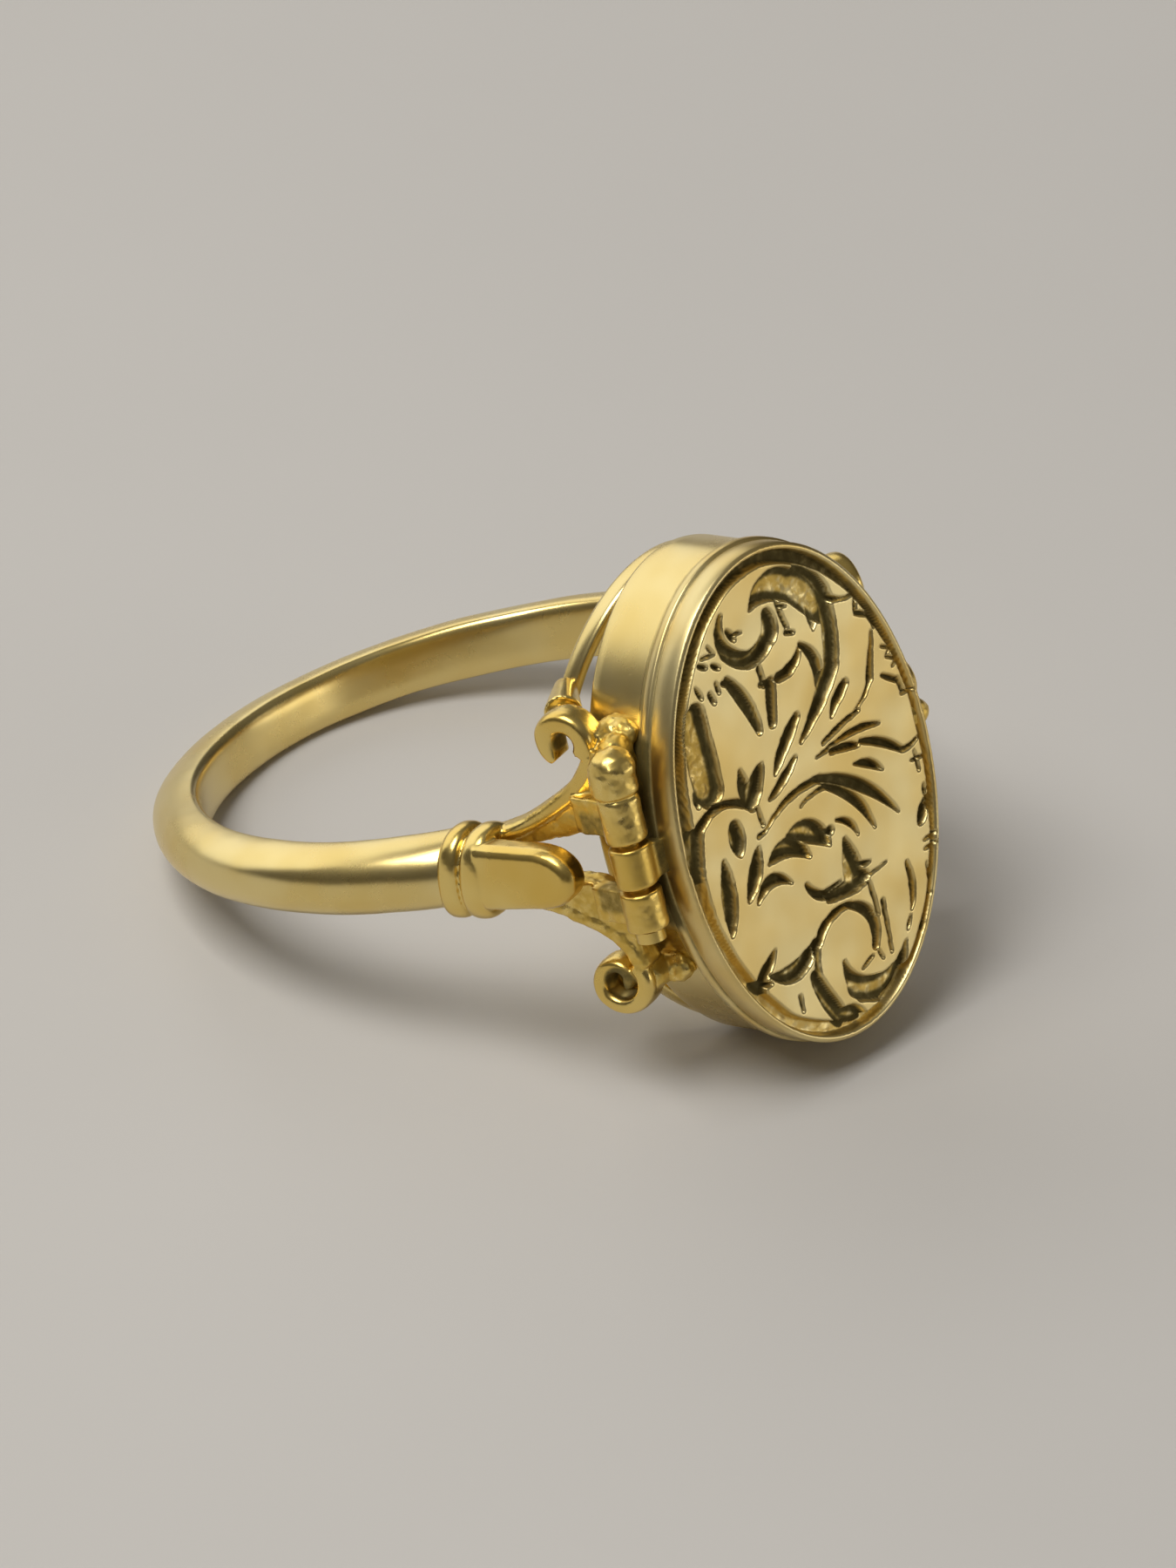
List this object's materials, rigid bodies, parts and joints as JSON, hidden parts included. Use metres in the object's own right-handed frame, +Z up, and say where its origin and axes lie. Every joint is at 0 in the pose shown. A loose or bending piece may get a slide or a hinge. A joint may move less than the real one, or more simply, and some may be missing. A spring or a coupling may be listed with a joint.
{
  "type": "poison ring",
  "caption": "Gold poison ring: a plain band whose forked scroll shoulders carry an oval box with a hinged, engraved lid.",
  "frame": {"origin": "centre of the bounding box on the surface it rests on", "axes": "+X from the band's back towards the lid, +Y away from the hinge side, +Z up; the ring lies on its side"},
  "size_m": [0.0246, 0.0206, 0.0156],
  "materials": {
    "gold": "polished",
    "gold_satin": "satin",
    "gold_cast": "rough"
  },
  "bodies": {
    "ring": {"ring_body": "gold", "hinge_pin": "gold_cast"},
    "lid_leaf": {"lid": "gold_satin"}
  },
  "joints": [
    {"name": "lid_hinge", "type": "hinge", "parent": "ring", "child": "lid_leaf", "pos_m": [0.00864, -0.00595, 0.00784], "axis": [0.3331, 0, -0.9429], "range_deg": [0, 110]}
  ]
}
